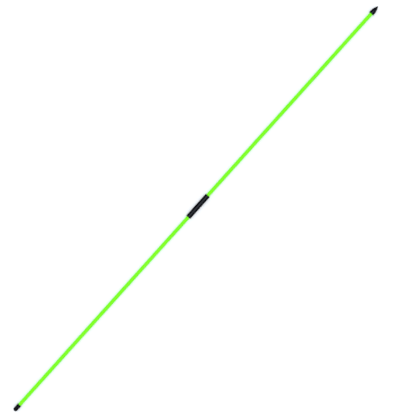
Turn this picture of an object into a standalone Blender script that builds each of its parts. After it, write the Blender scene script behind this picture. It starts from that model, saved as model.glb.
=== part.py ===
"""Two-piece alignment stick for golf practice, lying on the ground.

Metres, +Z up. The stick lies along X with its point at +X and the ground at Z = 0, and the origin
is under the middle of its length. Every piece is round about one axis, which is the local Z of the
empty stick_axis, so one number places a piece: how far along the stick it stands.

The pointed tip, its rod and the sleeve are bonded into one half. The other half is a rod that
pushes into the sleeve, with a soft cap pushed onto its far end.
"""

import math

import bpy

# The whole stick, from the end of the cap to the point
STICK_LENGTH = 1.210

# Rods
ROD_DIAMETER = 0.0080
ROD_END_CHAMFER = 0.0005

# Sleeve that joins the two rods: a blind socket in each end, with a web between them
SLEEVE_LENGTH = 0.0648
SLEEVE_WALL = 0.00165
SLEEVE_WEB = 0.003
SLEEVE_EDGE_RADIUS = 0.0004
SLEEVE_OFFSET = 0.0063  # its middle, from the middle of the stick towards the point

# Pointed tip: a collar with a little mould draft, then a straight cone with a blunt point
TIP_LENGTH = 0.022
TIP_WALL = 0.00165
TIP_COLLAR_LENGTH = 0.0095
TIP_COLLAR_DRAFT = 0.0003
TIP_SHOULDER_RADIUS = 0.003
TIP_POINT_RADIUS = 0.0014
TIP_SOCKET_PAST_COLLAR = 0.0008
TIP_EDGE_RADIUS = 0.0003

# End cap: a soft cup, a little narrower at its domed end, where the rubber is solid
CAP_LENGTH = 0.0174
CAP_WALL = 0.00075
CAP_END_THICKNESS = 0.0045
CAP_DRAFT = 0.0003
CAP_DOME_RADIUS = 0.0034
CAP_EDGE_RADIUS = 0.0003

# Clearances
BOND_GAP = 0.00005  # glue line round a rod that is bonded in
PUSH_GAP = 0.00005  # round a rod that is pushed in and can be pulled out
END_GAP = 0.0003  # between the end of a rod and the floor of its socket
MOUTH_CHAMFER = 0.0003  # lead-in at the mouth of a socket

# Facets round every piece. A flat one is turned down, so that the stick has something to lie on
SIDES = 32
CORNER_STEPS = 6
SHARP_ANGLE = math.radians(30)
CHAMFERED_ANGLE = math.radians(60)
MERGE_DISTANCE = 0.00001
EMPTY_SIZE = 0.02

ROD_RADIUS = ROD_DIAMETER / 2
BONDED_SOCKET_RADIUS = ROD_RADIUS + BOND_GAP
PUSH_SOCKET_RADIUS = ROD_RADIUS + PUSH_GAP
SLEEVE_RADIUS = max(BONDED_SOCKET_RADIUS, PUSH_SOCKET_RADIUS) + SLEEVE_WALL
TIP_RADIUS = BONDED_SOCKET_RADIUS + TIP_WALL
CAP_RADIUS = PUSH_SOCKET_RADIUS + CAP_WALL
AXIS_HEIGHT = max(SLEEVE_RADIUS, TIP_RADIUS, CAP_RADIUS) * math.cos(math.pi / SIDES)

GREEN_FIBREGLASS = {"name": "green_fibreglass", "colour": (0.22, 0.95, 0.022), "roughness": 0.35}
BLACK_PLASTIC = {"name": "black_plastic", "colour": (0.012, 0.013, 0.017), "roughness": 0.4}
BLACK_RUBBER = {"name": "black_rubber", "colour": (0.010, 0.010, 0.012), "roughness": 0.65}


def clear_scene():
    for obj in list(bpy.data.objects):
        bpy.data.objects.remove(obj, do_unlink=True)


def make_material(name, colour, roughness):
    material = bpy.data.materials.new(name)
    material.use_nodes = True
    shader = material.node_tree.nodes["Principled BSDF"]
    shader.inputs["Base Color"].default_value = (*colour, 1.0)
    shader.inputs["Roughness"].default_value = roughness
    shader.inputs["Metallic"].default_value = 0.0
    return material


def make_empty(name, collection, parent=None):
    empty = bpy.data.objects.new(name, None)
    empty.empty_display_size = EMPTY_SIZE
    empty.parent = parent
    collection.objects.link(empty)
    return empty


def stand_on_axis(obj, collection, parent, along, material, flipped=False):
    """Stands a piece on the stick's axis, with a facet turned down, and gives it its material."""
    for owner in list(obj.users_collection):
        owner.objects.unlink(obj)
    collection.objects.link(obj)
    obj.parent = parent
    obj.location = (0.0, 0.0, along)
    obj.rotation_euler = (math.pi if flipped else 0.0, 0.0, math.pi / SIDES)
    obj.data.materials.append(material)
    obj.data.shade_smooth()
    obj.data.set_sharp_from_angle(angle=SHARP_ANGLE)


def round_corner(before, corner, after, radius):
    """Points on the arc that rounds a corner of a profile, no wider than half its shorter side."""
    to_before = (before[0] - corner[0], before[1] - corner[1])
    to_after = (after[0] - corner[0], after[1] - corner[1])
    shorter = min(math.hypot(*to_before), math.hypot(*to_after))
    angle_before = math.atan2(to_before[1], to_before[0])
    angle_after = math.atan2(to_after[1], to_after[0])
    inside = (angle_after - angle_before + math.pi) % math.tau - math.pi
    half = abs(inside) / 2
    radius = min(radius, shorter / 2 * math.tan(half))
    middle = angle_before + inside / 2
    centre_r = corner[0] + radius / math.sin(half) * math.cos(middle)
    centre_z = corner[1] + radius / math.sin(half) * math.sin(middle)
    sweep = math.copysign(math.pi - 2 * half, inside)
    first = middle + math.pi + sweep / 2
    turns = [first - sweep * step / CORNER_STEPS for step in range(CORNER_STEPS + 1)]
    return [(centre_r + radius * math.cos(a), centre_z + radius * math.sin(a)) for a in turns]


def socket_profile(bore_radius, mouth, floor):
    """Up a blind socket: from its mouth, past the lead-in, to the middle of its floor."""
    lead = math.copysign(MOUTH_CHAMFER, floor - mouth)
    return [
        (bore_radius + MOUTH_CHAMFER, mouth),
        (bore_radius, mouth + lead),
        (bore_radius, floor),
        (0.0, floor),
    ]


def turned_piece(name, profile):
    """A solid turned about local Z. The profile is (radius, height) points, down its outer side."""
    mesh = bpy.data.meshes.new(name)
    points = [(radius, 0.0, height) for radius, height in profile]
    mesh.from_pydata(points, [(i, i + 1) for i in range(len(points) - 1)], [])
    obj = bpy.data.objects.new(name, mesh)
    screw = obj.modifiers.new("turn", "SCREW")
    screw.axis = "Z"
    screw.angle = math.tau
    screw.steps = SIDES
    screw.render_steps = SIDES
    screw.use_merge_vertices = True
    screw.merge_threshold = MERGE_DISTANCE
    return obj


def make_rod(name, length):
    """Its origin is its middle."""
    bpy.ops.mesh.primitive_cylinder_add(vertices=SIDES, radius=ROD_RADIUS, depth=length)
    rod = bpy.context.object
    rod.name = name
    rod.data.name = name
    chamfer = rod.modifiers.new("end_chamfer", "BEVEL")
    chamfer.width = ROD_END_CHAMFER
    chamfer.segments = 1
    chamfer.limit_method = "ANGLE"
    chamfer.angle_limit = CHAMFERED_ANGLE
    return rod


def make_sleeve(name):
    """Its origin is its middle, in the web. The bonded socket opens upwards, the push fit downwards."""
    half = SLEEVE_LENGTH / 2
    bonded_socket = socket_profile(BONDED_SOCKET_RADIUS, half, SLEEVE_WEB / 2)
    push_socket = socket_profile(PUSH_SOCKET_RADIUS, -half, -SLEEVE_WEB / 2)
    top, bottom = (SLEEVE_RADIUS, half), (SLEEVE_RADIUS, -half)
    top_edge = round_corner(bonded_socket[0], top, bottom, SLEEVE_EDGE_RADIUS)
    bottom_edge = round_corner(top, bottom, push_socket[0], SLEEVE_EDGE_RADIUS)
    return turned_piece(name, list(reversed(bonded_socket)) + top_edge + bottom_edge + push_socket)


def make_pointed_tip(name):
    """Its origin is the middle of its flat back, which the rod enters, and its point is up."""
    shoulder = (TIP_RADIUS - TIP_COLLAR_DRAFT, TIP_COLLAR_LENGTH)
    back = (TIP_RADIUS, 0.0)
    socket = socket_profile(BONDED_SOCKET_RADIUS, 0.0, TIP_COLLAR_LENGTH + TIP_SOCKET_PAST_COLLAR)
    # The cone runs from the shoulder to where it touches the ball that blunts the point
    ball = TIP_LENGTH - TIP_POINT_RADIUS
    fall = ball - shoulder[1]
    touch = math.atan2(shoulder[0], -fall) - math.acos(TIP_POINT_RADIUS / math.hypot(shoulder[0], fall))
    turns = [touch * step / CORNER_STEPS for step in range(CORNER_STEPS + 1)]
    point = [(TIP_POINT_RADIUS * math.sin(a), ball + TIP_POINT_RADIUS * math.cos(a)) for a in turns]
    shoulder_arc = round_corner(point[-1], shoulder, back, TIP_SHOULDER_RADIUS)
    back_edge = round_corner(shoulder, back, socket[0], TIP_EDGE_RADIUS)
    return turned_piece(name, point + shoulder_arc + back_edge + socket)


def make_end_cap(name):
    """Its origin is the middle of its open mouth, and its domed end is up, with a flat in its middle."""
    centre = (0.0, CAP_LENGTH)
    rim = (CAP_RADIUS - CAP_DRAFT, CAP_LENGTH)
    mouth = (CAP_RADIUS, 0.0)
    socket = socket_profile(PUSH_SOCKET_RADIUS, 0.0, CAP_LENGTH - CAP_END_THICKNESS)
    dome = round_corner((-rim[0], rim[1]), rim, mouth, CAP_DOME_RADIUS)
    mouth_edge = round_corner(rim, mouth, socket[0], CAP_EDGE_RADIUS)
    return turned_piece(name, [centre] + dome + mouth_edge + socket)


def build_stick():
    clear_scene()
    collection = bpy.data.collections.new("alignment_stick")
    bpy.context.scene.collection.children.link(collection)
    green = make_material(**GREEN_FIBREGLASS)
    plastic = make_material(**BLACK_PLASTIC)
    rubber = make_material(**BLACK_RUBBER)

    stick_axis = make_empty("stick_axis", collection)
    stick_axis.location = (0.0, 0.0, AXIS_HEIGHT)
    stick_axis.rotation_euler = (0.0, math.pi / 2, 0.0)
    cap_half_slide = make_empty("cap_half_slide", collection, stick_axis)
    end_cap_slide = make_empty("end_cap_slide", collection, cap_half_slide)

    # Places along the stick, from the tip back to the cap
    tip_back = STICK_LENGTH / 2 - TIP_LENGTH
    tip_socket_floor = tip_back + TIP_COLLAR_LENGTH + TIP_SOCKET_PAST_COLLAR
    web_front = SLEEVE_OFFSET + SLEEVE_WEB / 2
    web_back = SLEEVE_OFFSET - SLEEVE_WEB / 2
    cap_mouth = CAP_LENGTH - STICK_LENGTH / 2
    cap_socket_floor = CAP_END_THICKNESS - STICK_LENGTH / 2

    def add_rod(name, low_floor, high_floor, parent):
        """A rod that reaches to END_GAP from the floor of the socket at each of its ends."""
        rod = make_rod(name, high_floor - low_floor - 2 * END_GAP)
        stand_on_axis(rod, collection, parent, (low_floor + high_floor) / 2, green)

    stand_on_axis(make_pointed_tip("pointed_tip"), collection, stick_axis, tip_back, plastic)
    add_rod("tip_rod", web_front, tip_socket_floor, stick_axis)
    stand_on_axis(make_sleeve("joining_sleeve"), collection, stick_axis, SLEEVE_OFFSET, plastic)
    add_rod("cap_rod", cap_socket_floor, web_back, cap_half_slide)
    stand_on_axis(make_end_cap("end_cap"), collection, end_cap_slide, cap_mouth, rubber, flipped=True)


build_stick()
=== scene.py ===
import math

import bmesh
import bpy
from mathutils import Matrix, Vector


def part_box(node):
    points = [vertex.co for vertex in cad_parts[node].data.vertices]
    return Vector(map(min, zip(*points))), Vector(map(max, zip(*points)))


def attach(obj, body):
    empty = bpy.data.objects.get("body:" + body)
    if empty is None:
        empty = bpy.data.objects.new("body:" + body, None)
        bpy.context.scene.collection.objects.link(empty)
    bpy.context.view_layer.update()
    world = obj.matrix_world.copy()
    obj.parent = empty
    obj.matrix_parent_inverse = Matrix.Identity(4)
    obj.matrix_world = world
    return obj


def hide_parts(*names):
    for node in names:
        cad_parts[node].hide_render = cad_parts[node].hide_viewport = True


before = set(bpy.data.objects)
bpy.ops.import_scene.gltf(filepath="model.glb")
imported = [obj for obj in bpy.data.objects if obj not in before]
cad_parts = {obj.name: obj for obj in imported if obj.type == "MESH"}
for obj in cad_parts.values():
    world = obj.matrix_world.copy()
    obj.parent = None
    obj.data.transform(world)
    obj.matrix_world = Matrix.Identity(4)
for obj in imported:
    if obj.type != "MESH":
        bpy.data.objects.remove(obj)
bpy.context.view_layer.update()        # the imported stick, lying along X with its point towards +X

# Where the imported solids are. Every new piece is turned about the stick's own axis
tipLow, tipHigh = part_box("pointed_tip")
sleeveLow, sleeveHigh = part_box("joining_sleeve")
capLow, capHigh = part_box("end_cap")
tipRodLow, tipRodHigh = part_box("tip_rod")
capRodLow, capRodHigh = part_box("cap_rod")
axisZ = (sleeveLow.z + sleeveHigh.z) / 2
rodRadius = (tipRodHigh.y - tipRodLow.y) / 2

fits = {
    "sides": 128,           # facets round every piece
    "socketGap": 0.00005,   # between a rod and the wall of its socket
    "endGap": 0.0003,       # between a rod's end and the floor of its socket
    "mouthLead": 0.0003,    # chamfer at a socket's mouth
    "seamHeight": 0.00008,  # how far a mould's parting line stands proud
    "smoothAngle": math.radians(35),
    "sameSpot": 1e-6,       # corners closer than this stand in one ring
}
socketRadius = rodRadius + fits["socketGap"]


# A piece starts as a tapered blank. Its end faces are then drawn out or in, ring by ring

def clearSelection():
    bpy.ops.object.select_all(action="DESELECT")


def addBlank(name, lowX, highX, lowRadius, highRadius):
    clearSelection()
    bpy.ops.mesh.primitive_cone_add(
        vertices=fits["sides"], radius1=lowRadius, radius2=highRadius, depth=highX - lowX,
        location=((lowX + highX) / 2, 0, axisZ), rotation=(0, math.pi / 2, 0))
    piece = bpy.context.object
    piece.name = name
    piece.data.name = name
    bpy.ops.object.transform_apply(location=True, rotation=True, scale=True)
    bpy.ops.object.mode_set(mode="EDIT")
    return piece


def pick(piece, kind, wanted):
    bpy.ops.mesh.select_mode(type=kind)
    bpy.ops.mesh.select_all(action="DESELECT")
    shape = bmesh.from_edit_mesh(piece.data)
    for item in {"VERT": shape.verts, "EDGE": shape.edges, "FACE": shape.faces}[kind]:
        if wanted(item):
            item.select_set(True)
    shape.select_flush_mode()
    bmesh.update_edit_mesh(piece.data)


def offAxis(point):
    return math.hypot(point.y, point.z - axisZ)


def startAtEnd(piece, side):
    # side is 1 for the end nearer the point, and -1 for the other
    corners = bmesh.from_edit_mesh(piece.data).verts
    farX = side * max(side * corner.co.x for corner in corners)
    rim = max(offAxis(corner.co) for corner in corners if abs(corner.co.x - farX) < fits["sameSpot"])
    pick(piece, "FACE", lambda face: abs(face.calc_center_median().x - farX) < fits["sameSpot"])
    return {"x": farX, "radius": rim}


def drawOut(end, stops):
    # each stop is the next ring: its place along X, and its radius
    for x, radius in stops:
        bpy.ops.mesh.extrude_region_move(TRANSFORM_OT_translate={"value": (x - end["x"], 0, 0)})
        grow = radius / end["radius"]
        bpy.ops.transform.resize(value=(1, grow, grow), center_override=(x, 0, axisZ))
        end["x"], end["radius"] = x, radius


def arcStops(centreX, centreRadius, size, fromTurn, toTurn, steps):
    # a turn of 0 degrees points along +X, and one of 90 straight off the axis
    turns = [math.radians(fromTurn + (toTurn - fromTurn) * step / steps) for step in range(steps + 1)]
    return [(centreX + size * math.cos(turn), centreRadius + size * math.sin(turn)) for turn in turns]


def closeEnd():
    bpy.ops.mesh.poke()


def sinkSocket(end, mouthX, floorX):
    lead = math.copysign(fits["mouthLead"], floorX - mouthX)
    drawOut(end, [
        (mouthX, socketRadius + fits["mouthLead"]),
        (mouthX + lead, socketRadius),
        (floorX, socketRadius),
    ])
    closeEnd()


def raiseSeam(piece, lowX, highX):
    # the mould's two halves met on the level plane through the axis. The walls of sockets have no seam
    def onSeam(corner):
        outside = offAxis(corner.co) > socketRadius + 2 * fits["mouthLead"] or corner.co.x > tipRodHigh.x
        return abs(corner.co.z - axisZ) < fits["sameSpot"] and outside and lowX < corner.co.x < highX

    pick(piece, "VERT", onSeam)
    bpy.ops.transform.shrink_fatten(value=fits["seamHeight"])


def paintFaces(piece, material, wanted):
    piece.data.materials.append(material)
    piece.active_material_index = len(piece.data.materials) - 1
    pick(piece, "FACE", wanted)
    bpy.ops.object.material_slot_assign()


def finishPiece(piece, body, node):
    bpy.ops.mesh.select_all(action="SELECT")
    bpy.ops.mesh.normals_make_consistent(inside=False)
    bpy.ops.object.mode_set(mode="OBJECT")
    bpy.ops.object.shade_smooth_by_angle(angle=fits["smoothAngle"])
    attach(piece, body)
    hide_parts(node)
    print("made", piece.name, "with", len(piece.data.polygons), "faces")


# Finishes. Their patterns lie in metres, because object coordinates are the stick's own

def newFinish(name, specular):
    material = bpy.data.materials.new(name)
    material.use_nodes = True
    tree = material.node_tree
    shader = tree.nodes["Principled BSDF"]
    shader.inputs["Metallic"].default_value = 0.0
    shader.inputs["Specular IOR Level"].default_value = specular
    place = tree.nodes.new("ShaderNodeTexCoord").outputs["Object"]
    return material, tree, shader, place


def feed(tree, socket, value):
    # the value is another node's output, or a plain number or colour
    if isinstance(value, bpy.types.NodeSocket):
        tree.links.new(value, socket)
    else:
        socket.default_value = value


def addNode(tree, kind, inputs, **settings):
    node = tree.nodes.new(kind)
    for name, value in settings.items():
        setattr(node, name, value)
    for name, value in inputs.items():
        feed(tree, node.inputs[name], value)
    return node


def stretched(tree, place, repeats):
    # repeats per metre, along the stick and across it
    along, across = repeats
    inputs = {"Vector": place, "Scale": (along, across, across)}
    return addNode(tree, "ShaderNodeMapping", inputs).outputs[0]


def cloud(tree, vector, scale=1.0, detail=3.0):
    # noise between 0 and 1
    inputs = {"Vector": vector, "Scale": scale, "Detail": detail, "Roughness": 0.55}
    return addNode(tree, "ShaderNodeTexNoise", inputs).outputs["Fac"]


def spread(tree, value, fromRange, toRange=(0.0, 1.0)):
    # eases a value from one range over to another, and holds it at the ends
    inputs = {
        "Value": value, "From Min": fromRange[0], "From Max": fromRange[1],
        "To Min": toRange[0], "To Max": toRange[1],
    }
    return addNode(tree, "ShaderNodeMapRange", inputs, interpolation_type="SMOOTHSTEP").outputs["Result"]


def times(tree, first, second):
    inputs = {0: first, 1: second}
    return addNode(tree, "ShaderNodeMath", inputs, operation="MULTIPLY", use_clamp=True).outputs[0]


def blendColours(tree, share, first, second):
    node = addNode(tree, "ShaderNodeMix", {}, data_type="RGBA")
    feed(tree, node.inputs["Factor"], share)
    for socket, colour in ((node.inputs[6], first), (node.inputs[7], second)):
        feed(tree, socket, (*colour, 1) if isinstance(colour, tuple) else colour)
    return node.outputs[2]


def blendValues(tree, share, first, second):
    return addNode(tree, "ShaderNodeMix", {0: share, 2: first, 3: second}).outputs[0]


def roughen(tree, shader, height, strength, depth):
    bump = addNode(tree, "ShaderNodeBump", {"Height": height, "Strength": strength, "Distance": depth})
    feed(tree, shader.inputs["Normal"], bump.outputs["Normal"])


def alongStick(tree, place):
    return addNode(tree, "ShaderNodeSeparateXYZ", {"Vector": place}).outputs["X"]


# In each look, repeats are per metre, along the stick and across it, and scales are per metre all ways.
# A range says where in the noise a change of colour or wear starts, and where it is complete

mostOfNoise = (0.3, 0.7)

resinLook = {
    "deep": (0.160, 0.860, 0.0003),
    "bright": (0.200, 0.920, 0.0006),
    "scuff": (0.420, 0.930, 0.160),
    "rubbed": (0.270, 0.900, 0.060),
    "shine": 0.20,
    "gloss": 0.30,
    "dull": 0.44,
    "scuffDull": 0.7,
    "rubbedDull": 0.66,
    "fibreRepeats": (14, 2600),
    "bandRepeats": (9, 160),
    "scratchRepeats": (55, 5200),
    "patchScale": 70.0,
    "shadeRange": (0.36, 0.64),
    "scratchRange": (0.70, 0.78),
    "scratchShare": (0.0, 0.8),
    "patchRange": (0.50, 0.66),
    "rubbedRange": (0.42, 0.62),
    "rubbedShare": (0.1, 0.9),
    "fibreRelief": 0.22,
    "fibreDepth": 0.00003,
}


def greenResin(name, rubFrom, rubTo):
    # coloured resin over lengthwise glass fibres, dulled where it slides in the sleeve
    look = resinLook
    material, tree, shader, place = newFinish(name, look["shine"])
    fibres = cloud(tree, stretched(tree, place, look["fibreRepeats"]), detail=4.0)
    bands = cloud(tree, stretched(tree, place, look["bandRepeats"]), detail=2.0)
    scratches = cloud(tree, stretched(tree, place, look["scratchRepeats"]), detail=2.0)
    patches = cloud(tree, place, look["patchScale"])
    shade = blendValues(tree, spread(tree, bands, mostOfNoise), fibres, patches)
    colour = blendColours(tree, spread(tree, shade, look["shadeRange"]), look["deep"], look["bright"])
    scuffed = times(
        tree,
        spread(tree, scratches, look["scratchRange"], look["scratchShare"]),
        spread(tree, patches, look["patchRange"]))
    colour = blendColours(tree, scuffed, colour, look["scuff"])
    inside = spread(tree, alongStick(tree, place), (rubFrom, rubTo))
    rubbed = times(tree, inside, spread(tree, scratches, look["rubbedRange"], look["rubbedShare"]))
    feed(tree, shader.inputs["Base Color"], blendColours(tree, rubbed, colour, look["rubbed"]))
    sheen = blendValues(tree, spread(tree, fibres, mostOfNoise), look["gloss"], look["dull"])
    sheen = blendValues(tree, scuffed, sheen, look["scuffDull"])
    feed(tree, shader.inputs["Roughness"], blendValues(tree, rubbed, sheen, look["rubbedDull"]))
    roughen(tree, shader, fibres, look["fibreRelief"], look["fibreDepth"])
    return material


fibreLook = {
    "resin": (0.330, 0.720, 0.090),
    "glass": (0.760, 0.860, 0.520),
    "shine": 0.25,
    "roughness": (0.62, 0.85),
    "bundleScale": 5200.0,
    "glassRange": (0.15, 0.75),   # from the middle of a bundle out to the resin round it
    "glassShare": (1.0, 0.0),
    "bladeScale": 900.0,
    "bladeWander": 1.5,
    "relief": 0.5,
    "depth": 0.00005,
}


def cutFibre(name):
    # sawn end: pale bundles of glass in green resin, with the marks of the blade across them
    look = fibreLook
    material, tree, shader, place = newFinish(name, look["shine"])
    bundles = addNode(tree, "ShaderNodeTexVoronoi", {"Vector": place, "Scale": look["bundleScale"]})
    bundles = bundles.outputs["Distance"]
    saw = {"Vector": place, "Scale": look["bladeScale"], "Distortion": look["bladeWander"], "Detail": 2.0}
    blade = addNode(tree, "ShaderNodeTexWave", saw, wave_type="BANDS", bands_direction="Z").outputs["Fac"]
    share = spread(tree, bundles, look["glassRange"], look["glassShare"])
    feed(tree, shader.inputs["Base Color"], blendColours(tree, share, look["resin"], look["glass"]))
    feed(tree, shader.inputs["Roughness"], spread(tree, blade, (0.0, 1.0), look["roughness"]))
    roughen(tree, shader, blendValues(tree, share, blade, bundles), look["relief"], look["depth"])
    return material


plasticLook = {
    "deep": (0.0009, 0.0013, 0.0032),
    "bright": (0.0024, 0.0034, 0.0076),
    "worn": (0.0170, 0.0185, 0.0230),
    "scratch": (0.0180, 0.0200, 0.0250),
    "shine": 0.30,
    "gloss": 0.22,
    "dull": 0.32,
    "rough": 0.58,         # where it is worn or scratched
    "grainScale": 3000.0,
    "flowRepeats": (45, 210),
    "hairlineRepeats": (130, 4600),
    "patchScale": 130.0,
    "speckScale": 5200.0,
    "flowRange": (0.35, 0.65),
    "hairlineRange": (0.66, 0.74),
    "hairlineShare": (0.0, 0.8),
    "patchRange": (0.46, 0.64),
    "wornRange": (0.38, 0.64),
    "grainRelief": 0.4,
    "grainDepth": 0.00004,
    "pointWearFrom": 0.013,   # from the tip's back
    "pointWear": 0.9,
    "mouthBand": 0.0016,      # how far from the sleeve's ends the wear reaches
    "capSideWear": 0.7,
    "tipSideWear": 0.45,
}


def blackPlastic(name, wear):
    # moulded plastic with a fine spark-eroded grain
    # wear turns a place along the stick into how worn it is there, from 0 to 1
    look = plasticLook
    material, tree, shader, place = newFinish(name, look["shine"])
    grain = cloud(tree, place, look["grainScale"])
    flow = cloud(tree, stretched(tree, place, look["flowRepeats"]))
    hairlines = cloud(tree, stretched(tree, place, look["hairlineRepeats"]), detail=2.0)
    patches = cloud(tree, place, look["patchScale"])
    scratched = times(
        tree,
        spread(tree, hairlines, look["hairlineRange"], look["hairlineShare"]),
        spread(tree, patches, look["patchRange"]))
    specks = blendValues(tree, patches, hairlines, cloud(tree, place, look["speckScale"]))
    worn = times(tree, wear(tree, alongStick(tree, place)), spread(tree, specks, look["wornRange"]))
    colour = blendColours(tree, spread(tree, flow, look["flowRange"]), look["deep"], look["bright"])
    colour = blendColours(tree, scratched, colour, look["scratch"])
    feed(tree, shader.inputs["Base Color"], blendColours(tree, worn, colour, look["worn"]))
    sheen = blendValues(tree, spread(tree, flow, mostOfNoise), look["gloss"], look["dull"])
    sheen = blendValues(tree, scratched, sheen, look["rough"])
    feed(tree, shader.inputs["Roughness"], blendValues(tree, worn, sheen, look["rough"]))
    roughen(tree, shader, grain, look["grainRelief"], look["grainDepth"])
    return material


def wearAtPoint(tree, along):
    reach = (tipLow.x + plasticLook["pointWearFrom"], tipHigh.x)
    return spread(tree, along, reach, (0.0, plasticLook["pointWear"]))


def wearAtMouths(tree, along):
    # hands and the other rod rub both ends of the sleeve
    band = plasticLook["mouthBand"]
    capSide = spread(tree, along, (sleeveLow.x, sleeveLow.x + band), (plasticLook["capSideWear"], 0.0))
    tipSide = spread(tree, along, (sleeveHigh.x - band, sleeveHigh.x), (0.0, plasticLook["tipSideWear"]))
    return addNode(tree, "ShaderNodeMath", {0: capSide, 1: tipSide}, operation="MAXIMUM").outputs[0]


vinylLook = {
    "deep": (0.0013, 0.0016, 0.0032),
    "bright": (0.0032, 0.0038, 0.0070),
    "dust": (0.0150, 0.0150, 0.0145),
    "shine": 0.16,
    "gloss": 0.42,
    "dull": 0.56,
    "rippleRepeats": (170, 330),
    "poreScale": 2200.0,
    "dustScale": 5200.0,
    "mottleRange": (0.36, 0.64),
    "dustRange": (0.44, 0.70),
    "dustReach": 0.0035,      # how far from the closed end the dust lies
    "dustShare": (0.0, 0.7),
    "relief": 0.5,
    "depth": 0.00006,
}


def blackVinyl(name):
    # soft moulded vinyl: a dull skin with slow ripples and pores, and dust caught on its rounded end
    look = vinylLook
    material, tree, shader, place = newFinish(name, look["shine"])
    ripple = cloud(tree, stretched(tree, place, look["rippleRepeats"]), detail=2.0)
    pores = cloud(tree, place, look["poreScale"])
    mottle = blendValues(tree, spread(tree, ripple, mostOfNoise), ripple, pores)
    colour = blendColours(tree, spread(tree, mottle, look["mottleRange"]), look["deep"], look["bright"])
    reach = (capLow.x + look["dustReach"], capLow.x)
    nearEnd = spread(tree, alongStick(tree, place), reach, look["dustShare"])
    dusty = times(tree, nearEnd, spread(tree, cloud(tree, place, look["dustScale"]), look["dustRange"]))
    feed(tree, shader.inputs["Base Color"], blendColours(tree, dusty, colour, look["dust"]))
    feed(tree, shader.inputs["Roughness"], spread(tree, mottle, mostOfNoise, (look["gloss"], look["dull"])))
    roughen(tree, shader, mottle, look["relief"], look["depth"])
    return material


# Pieces

tipShape = {
    "collar": 0.0095,     # length of the collar, up to the cone
    "draft": 0.0003,      # how much narrower the collar is at the shoulder
    "shoulder": 0.0007,   # half the width of the rounding between collar and cone
    "shoulderSteps": 5,
    "coneSteps": 4,
    "pointRound": 0.0014,
    "pointSteps": 8,
    "lastRing": 10,       # degrees from the point's middle
    "backEdge": 0.0003,
    "backSteps": 4,
}


def makeTip():
    backX, frontX = tipLow.x, tipHigh.x
    radius = (tipHigh.y - tipLow.y) / 2
    shoulderX = backX + tipShape["collar"]
    shoulderRadius = radius - tipShape["draft"]
    edge = tipShape["backEdge"]
    tip = addBlank("tip_moulding", backX + edge, shoulderX, radius, shoulderRadius)

    # the cone runs straight to where it touches the ball of the point
    pointRound = tipShape["pointRound"]
    ballX = frontX - pointRound
    fall = ballX - shoulderX
    touch = math.atan2(shoulderRadius, -fall) - math.acos(pointRound / math.hypot(shoulderRadius, fall))
    ball = arcStops(ballX, 0, pointRound, math.degrees(touch), tipShape["lastRing"], tipShape["pointSteps"])
    coneX, coneRadius = ball[0]
    steps = tipShape["coneSteps"]
    cone = [
        (shoulderX + (coneX - shoulderX) * step / steps,
         shoulderRadius + (coneRadius - shoulderRadius) * step / steps)
        for step in range(1, steps)
    ]
    end = startAtEnd(tip, 1)
    drawOut(end, cone + ball)
    closeEnd()
    pick(tip, "EDGE", lambda rim: all(abs(v.co.x - shoulderX) < fits["sameSpot"] for v in rim.verts))
    bpy.ops.mesh.bevel(offset=tipShape["shoulder"], segments=tipShape["shoulderSteps"], affect="EDGES")

    end = startAtEnd(tip, -1)
    drawOut(end, arcStops(backX + edge, radius - edge, edge, 90, 180, tipShape["backSteps"])[1:])
    sinkSocket(end, backX, tipRodHigh.x + fits["endGap"])
    seamEndX = cone[-1][0] - edge    # it dies out on the cone, short of the point
    raiseSeam(tip, backX + edge / 2, seamEndX)
    tip.data.materials.append(blackPlastic("tip_plastic", wearAtPoint))
    finishPiece(tip, "tip_half", "pointed_tip")


sleeveShape = {
    "edge": 0.0004,   # rounding of its two outer edges
    "edgeSteps": 5,
}


def makeSleeve():
    lowX, highX = sleeveLow.x, sleeveHigh.x
    radius = (sleeveHigh.y - sleeveLow.y) / 2
    edge, steps = sleeveShape["edge"], sleeveShape["edgeSteps"]
    sleeve = addBlank("sleeve_moulding", lowX + edge, highX - edge, radius, radius)
    end = startAtEnd(sleeve, 1)
    drawOut(end, arcStops(highX - edge, radius - edge, edge, 90, 0, steps)[1:])
    sinkSocket(end, highX, tipRodLow.x - fits["endGap"])
    end = startAtEnd(sleeve, -1)
    drawOut(end, arcStops(lowX + edge, radius - edge, edge, 90, 180, steps)[1:])
    sinkSocket(end, lowX, capRodHigh.x + fits["endGap"])
    raiseSeam(sleeve, lowX + edge / 2, highX - edge / 2)
    sleeve.data.materials.append(blackPlastic("sleeve_plastic", wearAtMouths))
    finishPiece(sleeve, "tip_half", "joining_sleeve")


rodShape = {
    "chamfer": 0.0005,
    "coat": 0.00012,    # the coloured skin, seen as a ring round the sawn core
    "rubFade": 0.001,   # over this length the clean skin turns into the rubbed one
}


def makeRod(name, low, high, body, node, rubFrom, rubTo):
    chamfer, coat = rodShape["chamfer"], rodShape["coat"]
    rod = addBlank(name, low.x + chamfer, high.x - chamfer, rodRadius, rodRadius)
    rod.data.materials.append(greenResin(name + "_resin", rubFrom, rubTo))
    for side, flatX in ((1, high.x), (-1, low.x)):
        end = startAtEnd(rod, side)
        drawOut(end, [
            (flatX - side * (chamfer - coat), rodRadius - coat),
            (flatX, rodRadius - chamfer),
            (flatX, rodRadius / 2),
        ])
        closeEnd()

    def onCore(face):
        inside = all(offAxis(corner.co) < rodRadius - coat / 2 for corner in face.verts)
        return inside and abs(face.normal.x) > 0.5    # and it faces along the rod

    paintFaces(rod, cutFibre(name + "_cut_end"), onCore)
    finishPiece(rod, body, node)


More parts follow.
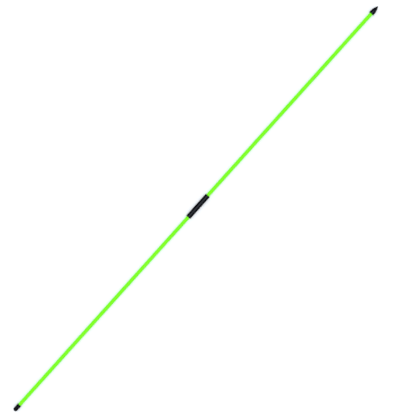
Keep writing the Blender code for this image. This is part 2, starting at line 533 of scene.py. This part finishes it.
capShape = {
    "dome": 0.0034,      # rounding of the closed end
    "domeSteps": 12,
    "lip": 0.00025,      # rounding of the mouth
    "lipSteps": 4,
    "grip": 0.00010,     # how much narrower the cap is where the rod ends
    "draft": 0.0003,     # how much narrower the solid end is than the mouth
    "gateRadius": 0.0008,    # the mark where the vinyl ran into its mould
    "gateDepth": 0.00015,
    "gateStub": 0.0003,      # radius of the stub left in its middle
}


def makeEndCap():
    mouthX, endX = capHigh.x, capLow.x
    radius = (capHigh.y - capLow.y) / 2
    lip, dome = capShape["lip"], capShape["dome"]
    rodEndX = capRodLow.x
    endRadius = radius - capShape["draft"]
    cap = addBlank("end_cap_vinyl", rodEndX, mouthX - lip, radius - capShape["grip"], radius)
    end = startAtEnd(cap, -1)
    neckX = endX + dome
    middleX = (rodEndX + neckX) / 2
    middleRadius = (radius - capShape["grip"] + endRadius) / 2
    domeStops = arcStops(neckX, endRadius - dome, dome, 90, 180, capShape["domeSteps"])
    drawOut(end, [(middleX, middleRadius)] + domeStops)
    gate, stub, depth = capShape["gateRadius"], capShape["gateStub"], capShape["gateDepth"]
    drawOut(end, [
        (endX, gate + depth / 2),
        (endX + depth / 3, gate),
        (endX + depth, gate - depth / 3),
        (endX + depth, stub + depth / 3),
        (endX + depth / 2, stub),
        (endX + depth / 3, stub / 2),
    ])
    closeEnd()
    end = startAtEnd(cap, 1)
    drawOut(end, arcStops(mouthX - lip, radius - lip, lip, 90, 0, capShape["lipSteps"])[1:])
    sinkSocket(end, mouthX, rodEndX - fits["endGap"])
    cap.data.materials.append(blackVinyl("cap_vinyl"))
    finishPiece(cap, "rubber_cap", "end_cap")


# The skin of each rod is clean up to the sleeve and rubbed inside it
rubFade = rodShape["rubFade"]
makeTip()
makeSleeve()
makeRod(
    "tip_half_rod", tipRodLow, tipRodHigh, "tip_half", "tip_rod",
    rubFrom=sleeveHigh.x + rubFade, rubTo=sleeveHigh.x - rubFade)
makeRod(
    "cap_half_rod", capRodLow, capRodHigh, "cap_half", "cap_rod",
    rubFrom=sleeveLow.x - 2 * rubFade, rubTo=sleeveLow.x + rubFade)
makeEndCap()


# Studio: a pale floor under one wide soft light, seen from straight above

studio = {
    "floorSize": 24.0,
    "floorColour": (0.93, 0.93, 0.93),
    "fleckShade": 0.99,    # how bright the paper's flecks are beside the rest of it
    "fleckScale": 40.0,
    "floorDull": 0.8,
    "lightHeight": 4.6,
    "lightSize": 3.6,
    "lightPower": 85.0,
    "lightColour": (0.76, 0.87, 1.0),
    "room": 0.95,          # how much soft light the room adds
    "backdrop": 0.89,      # how bright the room looks past the edge of the floor
    "shine": (0.01, 0.12),    # how bright it is in a reflection, low in the room and high in it
    "shineHeights": (-0.05, 0.45),    # low ends and high starts at these heights of the reflected ray
}


def makeFloor():
    clearSelection()
    bpy.ops.mesh.primitive_plane_add(size=studio["floorSize"], location=(0, 0, 0))
    floor = bpy.context.object
    floor.name = "studio_floor"
    floor.visible_glossy = False
    material, tree, shader, place = newFinish("floor_paper", 0.0)
    paper = studio["floorColour"]
    fleckColour = tuple(studio["fleckShade"] * channel for channel in paper)
    flecks = cloud(tree, place, studio["fleckScale"])
    feed(tree, shader.inputs["Base Color"], blendColours(tree, flecks, paper, fleckColour))
    shader.inputs["Roughness"].default_value = studio["floorDull"]
    floor.data.materials.append(material)


def makeLights():
    clearSelection()
    bpy.ops.object.light_add(type="AREA", location=(0, 0, studio["lightHeight"]))
    softbox = bpy.context.object
    softbox.name = "softbox"
    softbox.data.size = studio["lightSize"]
    softbox.data.energy = studio["lightPower"]
    softbox.data.color = studio["lightColour"]
    softbox.visible_camera = False

    world = bpy.data.worlds.new("studio_room")
    world.use_nodes = True
    bpy.context.scene.world = world
    tree = world.node_tree
    ray = tree.nodes.new("ShaderNodeLightPath").outputs
    towards = tree.nodes.new("ShaderNodeTexCoord").outputs["Generated"]
    height = addNode(tree, "ShaderNodeSeparateXYZ", {"Vector": towards}).outputs["Z"]
    shine = spread(tree, height, studio["shineHeights"], studio["shine"])
    strength = blendValues(tree, ray["Is Glossy Ray"], studio["room"], shine)
    strength = blendValues(tree, ray["Is Camera Ray"], strength, studio["backdrop"])
    feed(tree, tree.nodes["Background"].inputs["Strength"], strength)
    tree.nodes["Background"].inputs["Color"].default_value = (1, 1, 1, 1)


shot = {
    "turn": 48.03,      # the stick rises this many degrees across the view
    "width": 0.926,     # metres across the view
    "overX": 0.0185,    # the spot that the camera hangs over
    "overY": -0.0190,
    "lens": 135.0,
    "sensor": 36.0,
}


def makeCamera():
    turn = math.radians(shot["turn"])
    height = shot["width"] * shot["lens"] / shot["sensor"]
    clearSelection()
    bpy.ops.object.camera_add(
        location=(shot["overX"], shot["overY"], axisZ + height),
        rotation=(0, 0, -turn))
    camera = bpy.context.object
    camera.name = "overhead_camera"
    camera.data.lens = shot["lens"]
    camera.data.sensor_width = shot["sensor"]
    camera.data.clip_start = 0.1
    camera.data.clip_end = 100.0
    bpy.context.scene.camera = camera


makeFloor()
makeLights()
makeCamera()
bpy.context.scene.view_settings.view_transform = "Standard"
print("studio ready")
